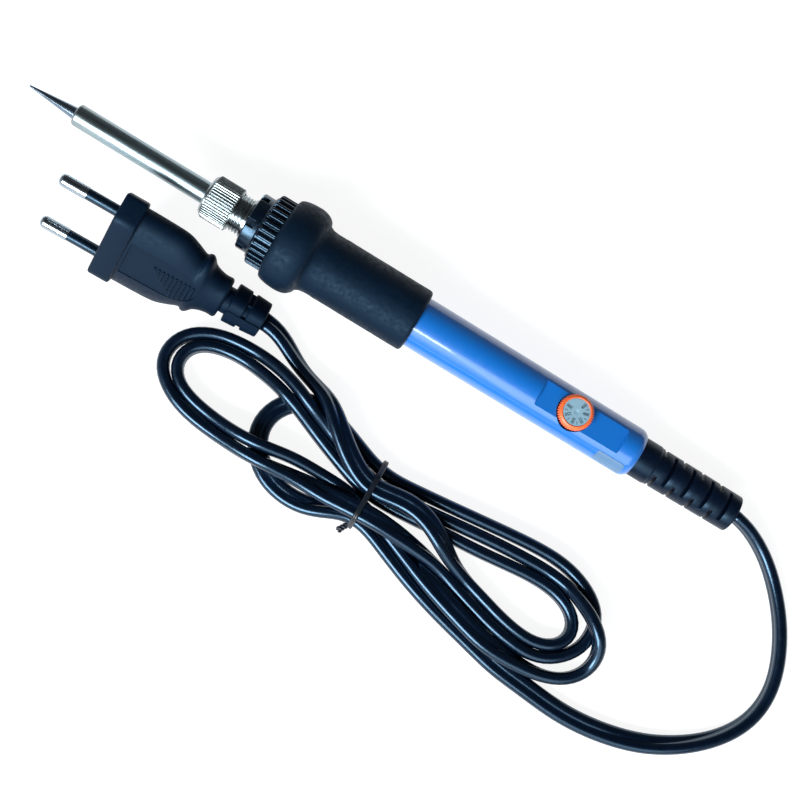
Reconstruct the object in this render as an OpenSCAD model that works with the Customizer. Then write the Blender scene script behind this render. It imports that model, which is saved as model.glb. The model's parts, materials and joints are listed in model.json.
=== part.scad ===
// Temperature-adjustable soldering iron with a flat twin cord and a two-pin plug.
// Millimetres. The iron lies along X with its tip towards -X and rests on its grip's flare and on
// the rear end of its strain relief. Stations, written s, run along its axis from the tip's point.

/* [Tip and barrel] */
// Length of the tip that shows in front of the barrel
tip_out = 16; // [12:0.5:20]
// Radius of the tip's cone where it leaves the barrel
tip_cone_r = 2; // [1.5:0.1:2.2]
// Outer radius of the steel barrel
barrel_r = 3.5; // [3.4:0.1:3.8]
// Length of barrel that shows in front of the nut
barrel_out = 45.3; // [40:0.1:55]
// Length of the knurled nut
nut_len = 9.7; // [9:0.1:11]
// Outer radius of the knurled nut
nut_r = 7; // [6.8:0.1:8]
// Number of knurls round the nut
nut_knurls = 48; // [36:1:60]

/* [Handle] */
// Length of threaded ferrule that shows behind the nut
ferrule_out = 5; // [4:0.5:7]
// Length of the black collar
collar_len = 4; // [3.5:0.5:6]
// Outer radius of the black collar
collar_r = 9.15; // [8.8:0.05:10]
// Length of the ribbed ring
ring_len = 5.9; // [5:0.1:8]
// Outer radius of the ribbed ring
ring_r = 11.6; // [11:0.1:13]
// Number of ribs round the ring
ring_ribs = 30; // [20:1:36]
// Length of the rubber grip
grip_len = 48.4; // [40:0.2:55]
// Largest radius of the grip's flare
flare_r = 14.1; // [13.5:0.1:16]
// Radius of the grip behind its flare
grip_r = 10.2; // [9.8:0.1:11]
// Length of blue handle that shows behind the grip
handle_out = 77.9; // [76:0.1:90]
// Outer radius of the handle at its front
handle_front_r = 8.2; // [8.1:0.1:8.6]
// Outer radius of the handle near its rear
handle_rear_r = 7.95; // [7.9:0.05:8.1]
// Length of strain relief that shows behind the handle
relief_len = 34.8; // [30:0.1:38]
// Radius of the strain relief at its rear end
relief_rear_r = 5.9; // [5.4:0.1:6.2]

/* [Dial] */
// Distance from the handle's rear end to the dial's centre
dial_from_rear = 23.7; // [22.5:0.1:30]
// Radius of the orange dial
dial_r = 5.5; // [5.2:0.05:5.8]
// Radius of the grey face
face_r = 4.2; // [3.8:0.1:4.5]
// Number of knurls round the dial
dial_knurls = 44; // [30:1:60]

/* [Plug] */
// Width of the plug's flange, across the pins
flange_w = 35.3; // [34.6:0.1:36]
// Thickness of the plug's flange
flange_h = 13.7; // [13:0.1:14.4]
// Width of the flange's flat sides
flange_flat = 24.6; // [23:0.1:26]
// Distance between the pins' centres
pin_pitch = 18.6; // [18:0.1:19.2]
// Length of the pins in front of the flange
pin_len = 19; // [18.5:0.1:19.5]
// Radius of the pins
pin_r = 2; // [1.97:0.01:2.03]

/* [Cord] */
// Width of the flat twin cord
cord_w = 6.3; // [5.9:0.1:6.6]
// Thickness of the flat twin cord
cord_t = 3.8; // [3.6:0.1:4.1]
// Height of the tied hank
hank_h = 10; // [8:0.5:12]

/* [Hidden] */
$fn = 96;

// Stations along the iron's axis, from the tip's point
s_barrel = tip_out;
s_nut = s_barrel + barrel_out;
s_ferrule = s_nut + nut_len;
s_collar = s_ferrule + ferrule_out;
s_ring = s_collar + collar_len;
s_grip = s_ring + ring_len;
s_handle = s_grip + grip_len;
s_relief = s_handle + handle_out;
s_end = s_relief + relief_len;
s_dial = s_relief - dial_from_rear;

// Nut, barrel flange and ferrule: the nut's front wall pulls the flange onto the ferrule
nut_wall = 2.7;
flange_t = 1;
barrel_flange_r = 5.5;
barrel_bore_r = 3.1;
barrel_mouth_r = 2.35;
s_flange = s_nut + nut_wall;
s_thread = s_flange + flange_t;
thread_r = 6;
thread_pitch = 1;
thread_depth = 0.5;
run_fit = 0.05;
ferrule_bore_r = 3.2;
ferrule_tail_r = 5.2;
ferrule_tail = 12;

// Tip and heater
tip_shank = 26.5;
tip_neck_r = 2.25;
tip_body_r = 3;
heater_r = 2;
heater_gap = 0.1;
s_heater = tip_out + 7;
heater_len = 60;

// Handle shell and what is inside it
wall = 1.6;
shell_bore_r = 6.2;
rear_wall = 4.8;
s_bulkhead = s_relief - rear_wall;
neck_r = 5;
window_z = 6.9;
window_front = 12.1;
window_rear = 17.1;
dial_hole_r = dial_r + 0.35;
dial_bottom = 6.9;
dial_top = 9.8;
board_top = -1.6;
board_t = 1;
board_w = 11;
s_board = s_dial - 48.5;
board_len = 61.8;
shaft_r = 1.5;
flare_at = 6.6;

// Lying pose: the flare and the relief's rear edge touch the surface
s_flare = s_grip + flare_at;
lean = atan((flare_r - relief_rear_r) / (s_end - s_flare));
half_x = (s_end * cos(lean) + relief_rear_r * sin(lean)) / 2;
s_centre = half_x / cos(lean);
centre_h = flare_r * cos(lean) - (s_centre - s_flare) * sin(lean);

// Plug: it lies on one slanted face of its flange and on the end of its neck
plug_x = -81.5;
plug_y = -25;
plug_yaw = 2.5;
plug_len = 53;
flange_t_plug = 7.2;
neck_end_r = 5.7;
side_run = (flange_w - flange_flat) / 2;
plug_roll = atan(flange_h / 2 / side_run);
face_drop = flange_w / 2 * sin(plug_roll);
plug_pitch = atan((face_drop - neck_end_r) / (plug_len - flange_t_plug));
plug_z = flange_t_plug * sin(plug_pitch) + face_drop * cos(plug_pitch);
sleeve_len = 10;
sleeve_r = 1.8;
pin_core_r = 1.4;
carrier_from = 2;
carrier_len = 12;
pin_set_in = 10;

// Routes of the cord's free stretches: x, y, height of the centre, roll of the flat section
LEAD_ROUTE = [
    [129, -1, 5.4, 90], [135, -3.5, 4.4, 90], [141, -7.5, 3.6, 90], [147, -13.5, 3.3, 90],
    [153, -21.5, 3.2, 90], [157.5, -30.5, 3.2, 90], [160, -40, 3.2, 90], [159, -50, 3.2, 80],
    [154, -59, 3.2, 70], [145.5, -67, 2.9, 50], [134, -73.5, 2.4, 25], [121, -77, 2, 0],
    [108, -78, 2, 0], [95, -76.5, 2, 0], [84, -74.5, 2, 0]
];
PLUG_ROUTE = [[-11, -31, 3.5, 70], [-17.5, -27, 4.2, 55]];
CORD_SIDES = 10;

// Outline of the tied hank, anticlockwise from its waist
tie_x = 24.5;
HANK = [
    [24.5, -61.2], [45, -66], [68, -73.5], [90, -75.5], [104, -72], [111, -64], [109, -53],
    [101, -42.5], [86, -36.8], [66, -38], [44, -41], [24.5, -41.8], [6, -36.5], [-12, -30],
    [-30, -29.5], [-44, -33], [-52, -43], [-48, -54], [-34, -60], [-18, -63], [-5, -67.5], [9, -67.5]
];
HANK_STEPS = 4;
tie_w = 1.3;
tie_t = 1.1;
tie_y_high = -41.8;
tie_y_low = -61.2;

/* Helpers */
// A solid of revolution about the iron's axis, from points of [radius, station]
module turned(outline) {
    rotate([0, 90, 0]) rotate_extrude() polygon(outline);
}

// A plain rod about the iron's axis between two stations
module rod(r, from, to) {
    translate([from, 0, 0]) rotate([0, 90, 0]) cylinder(r = r, h = to - from);
}

// A tube about the iron's axis between two stations
module pipe(outer, inner, from, to) {
    difference() {
        rod(outer, from, to);
        rod(inner, from - 1, to + 1);
    }
}

// Places what is drawn along the axis in the iron's lying pose
module lying() {
    translate([0, 0, centre_h]) rotate([0, lean, 0]) translate([-s_centre, 0, 0]) children();
}

// Places what is drawn in the plug's own frame, whose origin is the middle of the flange's front
module plug_pose() {
    translate([plug_x, plug_y, plug_z]) rotate([0, 0, plug_yaw]) rotate([0, plug_pitch, 0])
        rotate([plug_roll, 0, 0]) children();
}

// A toothed disc outline, with teeth of the given depth
function teeth(r, depth, count) = [
    for (i = [0 : count - 1], k = [0 : 3])
        let (a = 360 / count * (i + [0.06, 0.36, 0.56, 0.86][k]), q = k < 2 ? r : r - depth)
        [q * cos(a), q * sin(a)]
];

// The flat twin section: two lobes joined by a web, upright in the plane across the axis
module twin_section(grow) {
    lobe_at = (cord_w - cord_t) / 2;
    for (side = [-1, 1]) translate([0, side * lobe_at]) circle(r = cord_t / 2 + grow);
    square([cord_t + 2 * grow - 0.6, 2 * lobe_at], center = true);
}

// A stretch of the twin section along the iron's axis, standing on edge
module twin_bar(grow, from, to) {
    translate([from, 0, 0]) rotate([90, 0, 90]) linear_extrude(to - from) twin_section(grow);
}

/* Curves */
// One coordinate set of a Catmull-Rom span at parameter t
function span_point(a, b, c, d, t) =
    0.5 * (2 * b + (c - a) * t + (2 * a - 5 * b + 4 * c - d) * t * t
        + (3 * b - a - 3 * c + d) * t * t * t);

// An open smooth curve through points
function open_curve(p, steps) = let (n = len(p)) concat(
    [for (i = [0 : n - 2], k = [0 : steps - 1])
        span_point(p[max(i - 1, 0)], p[i], p[i + 1], p[min(i + 2, n - 1)], k / steps)],
    [p[n - 1]]
);

// A closed smooth curve through points
function closed_curve(p, steps) = let (n = len(p))
    [for (i = [0 : n - 1], k = [0 : steps - 1])
        span_point(p[(i + n - 1) % n], p[i], p[(i + 1) % n], p[(i + 2) % n], k / steps)];

function xyz(p) = [p[0], p[1], p[2]];
function unit(v) = v / norm(v);

// The heading of a curve at its point i
function heading(p, i) =
    unit(xyz(p[min(i + 1, len(p) - 1)]) - xyz(p[max(i - 1, 0)]));

// One ring of the cord's section round a point, across a heading, with its width turned by roll
function cord_ring(at, dir, roll) =
    let (
        side = unit(cross([0, 0, 1], dir)),
        up = cross(dir, side),
        wide = side * cos(roll) + up * sin(roll),
        thin = up * cos(roll) - side * sin(roll)
    )
    [for (k = [0 : CORD_SIDES - 1]) let (a = 360 / CORD_SIDES * (k + 0.5))
        at + wide * cord_w / 2 * cos(a) + thin * cord_t / 2 * sin(a)];

// A closed tube through rings of equal size
module skin(rings) {
    n = len(rings);
    m = len(rings[0]);
    points = [for (ring = rings, p = ring) p];
    sides = [for (i = [0 : n - 2], k = [0 : m - 1])
        [i * m + k, i * m + (k + 1) % m, (i + 1) * m + (k + 1) % m, (i + 1) * m + k]];
    first = [for (k = [m - 1 : -1 : 0]) k];
    last = [for (k = [0 : m - 1]) (n - 1) * m + k];
    polyhedron(points, concat(sides, [first, last]));
}

/* Tip, barrel and nut */
// Plated tip with a long cone, a neck that passes the barrel's mouth, and a bore for the heater
module tip() {
    bore_r = heater_r + heater_gap;
    end = tip_out + tip_shank;
    bore_from = s_heater - 1.5;
    color("darkgray") turned([
        [0, 0], [0.22, 0.06], [0.38, 0.3], [tip_cone_r, tip_out], [tip_neck_r, tip_out + 0.2],
        [tip_neck_r, tip_out + 1.8], [tip_body_r, tip_out + 1.8], [tip_body_r, end],
        [bore_r, end], [bore_r, bore_from], [0, bore_from - 1]
    ]);
}

// Steel barrel: rolled-in mouth, thin wall, and a rear flange that the nut clamps
module barrel_tube() {
    color("lightgray") turned([
        [barrel_mouth_r, s_barrel], [barrel_r - 0.7, s_barrel], [barrel_r - 0.2, s_barrel + 0.25],
        [barrel_r, s_barrel + 0.9], [barrel_r, s_flange], [barrel_flange_r, s_flange],
        [barrel_flange_r, s_thread], [barrel_bore_r, s_thread], [barrel_bore_r, s_barrel + 1.6],
        [barrel_mouth_r, s_barrel + 0.8]
    ]);
}

// Knurled union nut
module barrel_nut() {
    band_from = s_nut + 0.9;
    band_to = s_ferrule - 0.3;
    color("silver") difference() {
        union() {
            turned([
                [0, s_nut], [nut_r - 1.1, s_nut], [nut_r - 0.5, s_nut + 0.7], [nut_r - 0.5, s_ferrule],
                [0, s_ferrule]
            ]);
            translate([band_from, 0, 0]) rotate([0, 90, 0])
                linear_extrude(band_to - band_from) polygon(teeth(nut_r, 0.45, nut_knurls));
        }
        rod(barrel_r + run_fit, s_nut - 1, s_ferrule);
        rod(thread_r + run_fit, s_flange, s_ferrule + 1);
    }
}

/* Front of the handle */
// Nickel-plated ferrule: thread, step, captive flange and tail
module threaded_ferrule() {
    turns = floor((s_collar - 1.2 - s_thread) / thread_pitch);
    root_r = thread_r - thread_depth;
    thread = [for (i = [0 : turns - 1], k = [0 : 3])
        [k == 1 || k == 2 ? thread_r : root_r, s_thread + thread_pitch * (i + [0.1, 0.4, 0.6, 0.9][k])]];
    tail_end = s_collar + ferrule_tail;
    color("gainsboro") turned(concat(
        [[ferrule_bore_r, s_thread], [root_r, s_thread]],
        thread,
        [
            [root_r, s_collar - 1], [6.3, s_collar - 1], [6.3, s_collar + 1], [7.5, s_collar + 1],
            [7.5, s_collar + 3], [ferrule_tail_r, s_collar + 3], [ferrule_tail_r, tail_end],
            [ferrule_bore_r, tail_end]
        ]
    ));
}

// Black collar moulded round the ferrule's flange, with a spigot that fits inside the handle
module front_collar() {
    notches = 6;
    spigot_r = shell_bore_r - 0.02;
    spigot_end = s_ring + 15;
    color("#14161c") difference() {
        turned([
            [6.32, s_collar], [collar_r - 0.5, s_collar], [collar_r, s_collar + 0.5],
            [collar_r, s_ring], [spigot_r, s_ring], [spigot_r, spigot_end],
            [ferrule_tail_r, spigot_end], [ferrule_tail_r, s_collar + 3], [7.5, s_collar + 3],
            [7.5, s_collar + 1], [6.32, s_collar + 1]
        ]);
        for (i = [0 : notches - 1]) rotate([i * 360 / notches + 15, 0, 0])
            translate([s_collar - 1, -1.3, collar_r - 0.9]) cube([3.6, 2.6, 3]);
    }
}

// Ribbed ring that keeps the fingers off the hot end
module cooling_ring() {
    rib_w = 1.1;
    rib_h = 1.3;
    color("#16181e") difference() {
        union() {
            turned([
                [0, s_ring], [ring_r - 1.6, s_ring], [ring_r - rib_h, s_ring + 0.5],
                [ring_r - rib_h, s_grip], [0, s_grip]
            ]);
            for (i = [0 : ring_ribs - 1]) rotate([i * 360 / ring_ribs, 0, 0])
                translate([s_ring + 0.6, -rib_w / 2, ring_r - rib_h - 0.5])
                cube([ring_len - 0.6, rib_w, rib_h + 0.5]);
        }
        rod(handle_front_r, s_ring - 1, s_grip + 1);
    }
}

// Rubber sleeve with a flared front
module rubber_grip() {
    end = s_handle;
    flare = [for (a = [0 : 15 : 90])
        [flare_r - 1.6 * (1 - sin(a)), s_flare - (flare_at - 0.4) * cos(a)]];
    fall = [for (a = [15 : 15 : 90])
        [grip_r + 0.5 + (flare_r - grip_r - 0.5) * cos(a), s_flare + 5.4 * sin(a)]];
    edge = [for (a = [0 : 15 : 90]) [grip_r - 1.2 * (1 - cos(a)), end - 1.2 + 1.2 * sin(a)]];
    color("#191c22") turned(concat(
        [[handle_front_r, s_grip], [ring_r - 0.4, s_grip]],
        flare, fall, [[grip_r, s_flare + 8]], edge, [[handle_front_r, end]]
    ));
}

/* Handle */
// Blue handle: one moulded tube with a dial window, a dial hole and a rear wall for the relief
module handle_shell() {
    chamfer_from = s_relief - 2.2;
    color("#1f6fd0") difference() {
        turned([
            [0, s_ring], [handle_front_r, s_ring], [handle_front_r, s_handle + 6],
            [handle_rear_r, chamfer_from], [handle_rear_r - 0.2, chamfer_from + 0.9],
            [handle_rear_r - 1, s_relief], [0, s_relief]
        ]);
        rod(shell_bore_r, s_ring - 1, s_bulkhead);
        rod(neck_r, s_bulkhead - 1, s_relief + 1);
        translate([s_dial - window_front, -6, window_z])
            cube([window_front + window_rear, 12, 4]);
        translate([s_dial, 0, 0]) cylinder(r = dial_hole_r, h = 12);
    }
}

// Blank sticker near the handle's rear
module blank_label() {
    from = s_relief - 11.7;
    long = 9.3;
    start = 44;
    arc = 38;
    inner = handle_rear_r + 0.04;
    color("#cfd6d8") rotate([90 + start, 0, 0]) translate([from, 0, 0])
        rotate([0, 90, 0]) rotate([0, 0, 90]) rotate_extrude(angle = arc)
        translate([inner, 0]) square([0.12, long]);
}

/* Heater */
// Ceramic heater rod inside the tip and barrel
module heater_core() {
    color("#e9e4d8") rod(heater_r, s_heater, s_heater + heater_len);
}

// Ceramic collar that centres the heater in the ferrule
module heater_insulator() {
    color("#d8cfb8") pipe(ferrule_bore_r, heater_r, s_thread + 3, s_thread + 10);
}

lead_y = 1.1;
lead_r = 0.35;
lead_z = board_top + lead_r;

// Two bare leads from the heater to the circuit board
module heater_leads() {
    for (side = [-1, 1]) color("silver")
        translate([s_heater + heater_len, side * lead_y, lead_z]) rotate([0, 90, 0])
        cylinder(r = lead_r, h = s_board + 4 - s_heater - heater_len);
}

// Woven glass sleeves over the leads
module lead_sleeves() {
    from = s_heater + heater_len + 2;
    long = s_board - 1 - from;
    for (side = [-1, 1]) color("#e6e2d0") translate([from, side * lead_y, lead_z])
        rotate([0, 90, 0]) difference() {
            cylinder(r = 0.9, h = long);
            translate([0, 0, -1]) cylinder(r = lead_r, h = long + 2);
        }
}

/* Electronics */
// Phenolic circuit board
module circuit_board() {
    color("#b98a3e") difference() {
        translate([s_board, -board_w / 2, board_top - board_t]) cube([board_len, board_w, board_t]);
        for (x = [6, 14, 22, 58], side = [-1, 1])
            translate([s_board + x, side * 4.3, board_top - 2]) cylinder(r = 0.5, h = 4, $fn = 24);
    }
}

// Potentiometer: square case and round bushing
module pot_body() {
    case_w = 9;
    case_h = 4.4;
    color("#2b4c8c") difference() {
        union() {
            translate([s_dial - case_w / 2, -case_w / 2, board_top]) cube([case_w, case_w, case_h]);
            translate([s_dial, 0, board_top]) cylinder(r = 3, h = case_h + 1.6);
        }
        translate([s_dial, 0, board_top + 1.6]) cylinder(r = shaft_r + run_fit, h = 10);
    }
}

// Potentiometer shaft
module pot_shaft() {
    foot = board_top + 1.8;
    color("gainsboro") translate([s_dial, 0, foot]) cylinder(r = shaft_r, h = dial_top - 1.4 - foot);
}

// Orange knurled dial
module dial_rim() {
    color("#f5713a") translate([s_dial, 0, 0]) difference() {
        union() {
            translate([0, 0, dial_bottom]) cylinder(r = dial_r - 0.25, h = dial_top - dial_bottom);
            translate([0, 0, dial_bottom]) linear_extrude(dial_top - dial_bottom - 0.3)
                polygon(teeth(dial_r, 0.35, dial_knurls));
        }
        translate([0, 0, dial_top - 0.5]) cylinder(r = face_r, h = 2);
        translate([0, 0, dial_bottom - 1]) cylinder(r = shaft_r, h = dial_top - 1.4 - dial_bottom + 1);
    }
}

// Grey printed face set into the dial
module dial_face() {
    color("#a9b8bd") translate([s_dial, 0, dial_top - 0.5]) cylinder(r = face_r, h = 0.3);
}

// Triac in a half-round package
module triac() {
    color("#1d1d1f") translate([s_dial - 14, 0, board_top]) difference() {
        cylinder(r = 2.4, h = 5);
        translate([-4, -3, -1]) cube([2.6, 6, 8]);
    }
}

// Film capacitor
module capacitor() {
    color("#8a3b1e") translate([s_dial - 28, -2, board_top]) cube([9, 4, 6]);
}

// Small glass trigger diode
module diac() {
    color("#3b5ba5") translate([s_dial - 10.5, 4.2, board_top + 0.9]) rotate([0, 90, 0])
        cylinder(r = 0.9, h = 3.8);
}

// Three axial resistors
module resistors() {
    body_r = 1;
    for (i = [0 : 2]) color("#c9b78c")
        translate([s_dial - 40 + i * 4, -3, board_top + body_r]) rotate([-90, 0, 0])
        cylinder(r = body_r, h = 6);
}

/* Rear of the handle */
// Two insulated mains wires from the board to the cord
module mains_wires() {
    wire_r = 0.85;
    rear = s_bulkhead - 3.4;
    front = s_board + board_len - 8;
    lobe_at = (cord_w - cord_t) / 2;
    for (side = [-1, 1]) color(side > 0 ? "#7a4a2a" : "#2f62b5") {
        a = [front, side * 3, board_top + wire_r];
        b = [front + 7, side * 3, board_top + wire_r + 0.5];
        c = [rear, 0, side * lobe_at];
        hull() {
            translate(a) sphere(r = wire_r, $fn = 16);
            translate(b) sphere(r = wire_r, $fn = 16);
        }
        hull() {
            translate(b) sphere(r = wire_r, $fn = 16);
            translate(c) rotate([0, 90, 0]) cylinder(r = wire_r, h = 0.1, $fn = 16);
        }
    }
}

// The cord's jacketed end inside the handle and the strain relief
module cord_core() {
    color("#0c0e13") twin_bar(0, s_bulkhead - 3.3, s_end);
}

// Plastic clip that stops the cord from pulling out
module cord_clip() {
    from = s_bulkhead - 3;
    color("ivory") difference() {
        rod(5.6, from, from + 1);
        twin_bar(0.02, from - 1, from + 2);
        translate([from - 1, -6, -6]) cube([3, 2.4, 12]);
    }
}

// Rubber strain relief: inner flange, neck, plain collar and segments between alternating slots
module strain_relief() {
    pitch = 6.6;
    slots = 4;
    first = s_relief + 7.5;
    slot_w = 1.4;
    front_r = 6.4;
    side_depth = 2.4;
    top_depth = 3.6;
    color("#0e1016") difference() {
        turned([
            [0, s_bulkhead - 2], [shell_bore_r - 0.2, s_bulkhead - 2],
            [shell_bore_r - 0.2, s_bulkhead], [neck_r, s_bulkhead], [neck_r, s_relief],
            [front_r, s_relief], [front_r, s_relief + 5.6], [front_r - 0.25, s_relief + 6.3],
            [relief_rear_r, s_end], [0, s_end]
        ]);
        twin_bar(0, s_bulkhead - 3, s_end + 1);
        for (i = [0 : slots - 1], side = [0, 1]) {
            at = first + pitch * i - slot_w / 2;
            mirror([0, side, 0]) translate([at, side_depth, -7]) cube([slot_w, 6, 14]);
            mirror([0, 0, side]) translate([at + pitch / 2, -7, top_depth]) cube([slot_w, 14, 6]);
        }
    }
}

/* Cord */
// The cord's free lead, from the strain relief to the hank
module cord_lead() {
    exit = [(s_end - s_centre) * cos(lean), 0, centre_h - (s_end - s_centre) * sin(lean)];
    ahead = [cos(lean), 0, -sin(lean)];
    start = concat(exit, [90]);
    second = concat(exit + ahead * 3, [90]);
    route = open_curve(concat([start, second], LEAD_ROUTE), 2);
    rings = [for (i = [0 : len(route) - 1])
        cord_ring(xyz(route[i]), i == 0 ? ahead : heading(route, i), route[i][3])];
    color("#0c0e13") skin(rings);
}

// The tied part of the cord as one solid of its outer shape, with a groove for the tie
module cord_hank() {
    color("#10131a") difference() {
        linear_extrude(hank_h) polygon(closed_curve(HANK, HANK_STEPS));
        tie_band();
    }
}

module tie_band() {
    wide = tie_y_high - tie_y_low;
    middle = (tie_y_high + tie_y_low) / 2;
    translate([tie_x, middle, hank_h / 2]) difference() {
        cube([tie_w, wide + 0.8, hank_h], center = true);
        cube([tie_w + 1, wide + 0.8 - 2 * tie_t, hank_h - 2 * tie_t], center = true);
    }
}

// Wire tie round the hank's waist
module twist_tie() {
    color("#1a1d24") tie_band();
}

// The cord's stretch from the hank to the plug
module cord_plug_tail() {
    neck = plug_point(plug_len);
    ahead = plug_heading();
    route = open_curve(concat(PLUG_ROUTE, [concat(neck + ahead * 3, [30]), concat(neck, [30])]), 2);
    n = len(route) - 1;
    rings = [for (i = [0 : n])
        cord_ring(xyz(route[i]), i == n ? -ahead : heading(route, i), route[i][3])];
    color("#0c0e13") skin(rings);
}

/* Plug */
function plug_heading() = [
    cos(plug_pitch) * cos(plug_yaw), cos(plug_pitch) * sin(plug_yaw), -sin(plug_pitch)
];
function plug_point(a) = [plug_x, plug_y, plug_z] + a * plug_heading();

// The plug's six-sided section at station a along its axis, as a thin slice
module six_sided(a, w, h, flat) {
    translate([a, 0, 0]) rotate([90, 0, 90]) linear_extrude(0.01) polygon([
        [-w / 2, 0], [-flat / 2, -h / 2], [flat / 2, -h / 2], [w / 2, 0], [flat / 2, h / 2],
        [-flat / 2, h / 2]
    ]);
}

// Slices of the plug's body: station, width, thickness, width of the flat
BODY = [
    [7.2, 31.5, 12.9, 22], [16, 32, 12.4, 23], [22, 27.5, 11.8, 20], [29.5, 20, 11, 14.5],
    [40.2, 12, 9.6, 7.6]
];

// Moulded plug body
module plug_body() {
    color("#11141b") plug_pose() difference() {
        union() {
            rotate([90, 0, 90]) linear_extrude(flange_t_plug) polygon([
                [-flange_w / 2, 0], [-flange_flat / 2, -flange_h / 2],
                [flange_flat / 2, -flange_h / 2], [flange_w / 2, 0],
                [flange_flat / 2, flange_h / 2], [-flange_flat / 2, flange_h / 2]
            ]);
            for (i = [0 : len(BODY) - 2]) hull() {
                six_sided(BODY[i][0], BODY[i][1], BODY[i][2], BODY[i][3]);
                six_sided(BODY[i + 1][0], BODY[i + 1][1], BODY[i + 1][2], BODY[i + 1][3]);
            }
            rod(4.4, 39, 43);
            rod(neck_end_r, 42.4, plug_len);
        }
        for (side = [-1, 1]) translate([0, side * pin_pitch / 2, 0]) rod(sleeve_r, -1, carrier_from + 1);
        translate([carrier_from, -12, -4]) cube([carrier_len, 24, 8]);
    }
}

// Stiff inner carrier that holds the pins
module plug_carrier() {
    color("#d9d4c4") plug_pose() difference() {
        translate([carrier_from, -12, -4]) cube([carrier_len, 24, 8]);
        for (side = [-1, 1]) translate([0, side * pin_pitch / 2, 0])
            rod(pin_core_r, carrier_from - 1, pin_set_in);
    }
}

// Insulating sleeves on the pins' roots
module pin_sleeves() {
    color("#15171d") plug_pose() for (side = [-1, 1]) translate([0, side * pin_pitch / 2, 0])
        pipe(sleeve_r, pin_core_r, -sleeve_len, carrier_from);
}

// Two plated pins with rounded ends
module plug_pins() {
    round_r = 1.6;
    tip_end = [for (a = [0 : 15 : 90])
        [pin_r - round_r * (1 - sin(a)), -pin_len + round_r * (1 - cos(a))]];
    color("silver") plug_pose() for (side = [-1, 1]) translate([0, side * pin_pitch / 2, 0])
        turned(concat(
            [[0, -pin_len]], tip_end,
            [[pin_r, -sleeve_len], [pin_core_r, -sleeve_len], [pin_core_r, pin_set_in], [0, pin_set_in]]
        ));
}

lying() tip();
lying() barrel_tube();
lying() barrel_nut();
lying() threaded_ferrule();
lying() front_collar();
lying() cooling_ring();
lying() rubber_grip();
lying() handle_shell();
lying() heater_core();
lying() heater_insulator();
lying() heater_leads();
lying() lead_sleeves();
lying() circuit_board();
lying() pot_body();
lying() pot_shaft();
lying() dial_rim();
lying() dial_face();
lying() triac();
lying() capacitor();
lying() diac();
lying() resistors();
lying() mains_wires();
lying() cord_core();
lying() cord_clip();
lying() strain_relief();
lying() blank_label();
cord_lead();
cord_hank();
twist_tie();
cord_plug_tail();
plug_body();
plug_carrier();
pin_sleeves();
plug_pins();
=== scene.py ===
"""Looks of a temperature-adjustable soldering iron with its tied flat cord and two-pin plug.

Everything lies in the CAD frame, in metres; sizes written in millimetres are multiplied by MM.
The iron's own frame has X along its axis from the tip's point to the cord, Y across and Z out of
the dial, and a station is a distance along that X. The plug's frame has X from its front to its
cord, Y from pin to pin and Z through its thickness.
"""

import json
import math

import bmesh
import bpy
import numpy as np
from mathutils import Matrix, Vector, noise


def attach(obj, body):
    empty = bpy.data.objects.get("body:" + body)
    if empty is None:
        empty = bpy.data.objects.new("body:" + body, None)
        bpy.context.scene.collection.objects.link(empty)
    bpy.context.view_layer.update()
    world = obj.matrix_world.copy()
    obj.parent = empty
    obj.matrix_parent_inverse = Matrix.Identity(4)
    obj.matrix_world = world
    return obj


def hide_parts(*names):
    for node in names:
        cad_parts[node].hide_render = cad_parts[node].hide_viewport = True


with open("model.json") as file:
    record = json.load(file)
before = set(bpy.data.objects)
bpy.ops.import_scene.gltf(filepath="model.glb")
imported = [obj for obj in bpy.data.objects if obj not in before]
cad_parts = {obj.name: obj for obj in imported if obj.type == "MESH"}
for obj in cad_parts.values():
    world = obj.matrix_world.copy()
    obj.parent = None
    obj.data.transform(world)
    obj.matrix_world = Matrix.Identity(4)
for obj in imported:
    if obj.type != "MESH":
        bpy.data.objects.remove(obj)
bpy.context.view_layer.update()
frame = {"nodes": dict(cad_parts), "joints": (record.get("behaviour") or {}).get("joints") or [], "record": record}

SCENE = bpy.context.scene
MM = 0.001
ROOT = "handle"
JOINTS = {j["name"]: j for j in frame["joints"]}
MOUNTS = {m["name"]: m for m in frame["record"]["mounts"]}


# -------- frames and CAD measures
def vertices(node):
    """A CAD node's vertices, in metres."""
    return np.array([v.co for v in frame["nodes"][node].data.vertices], float)


def reach(node, origin, axis):
    """The least and the most that a CAD node goes along an axis from an origin, in metres."""
    along = (vertices(node) - origin) @ axis
    return along.min(), along.max()


def frame_of(x, y, z, origin):
    """The matrix of a frame with those three axes and that origin."""
    rows = [[float(vector[i]) for vector in (x, y, z, origin)] for i in range(3)]
    return Matrix(rows + [[0, 0, 0, 1]])


AHEAD = -np.array(JOINTS["barrel_slide"]["axis"])
UP = np.array(JOINTS["dial_turn"]["axis"])
ACROSS = np.cross(UP, AHEAD)
ON_AXIS = np.array(JOINTS["nut_turn"]["pos_m"])
TIP_POINT = ON_AXIS + AHEAD * reach("tip", ON_AXIS, AHEAD)[0]
IRON = frame_of(AHEAD, ACROSS, UP, TIP_POINT)


def stations(node, axis=AHEAD):
    """First and last station of a CAD node, or its levels along another axis, in millimetres."""
    first, last = reach(node, TIP_POINT, axis)
    return first / MM, last / MM


def girth(node, axis=AHEAD, foot=TIP_POINT):
    """Largest radius of a CAD node about the iron's axis or another, in millimetres."""
    off = vertices(node) - foot
    return np.linalg.norm(off - np.outer(off @ axis, axis), axis=1).max() / MM


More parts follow.
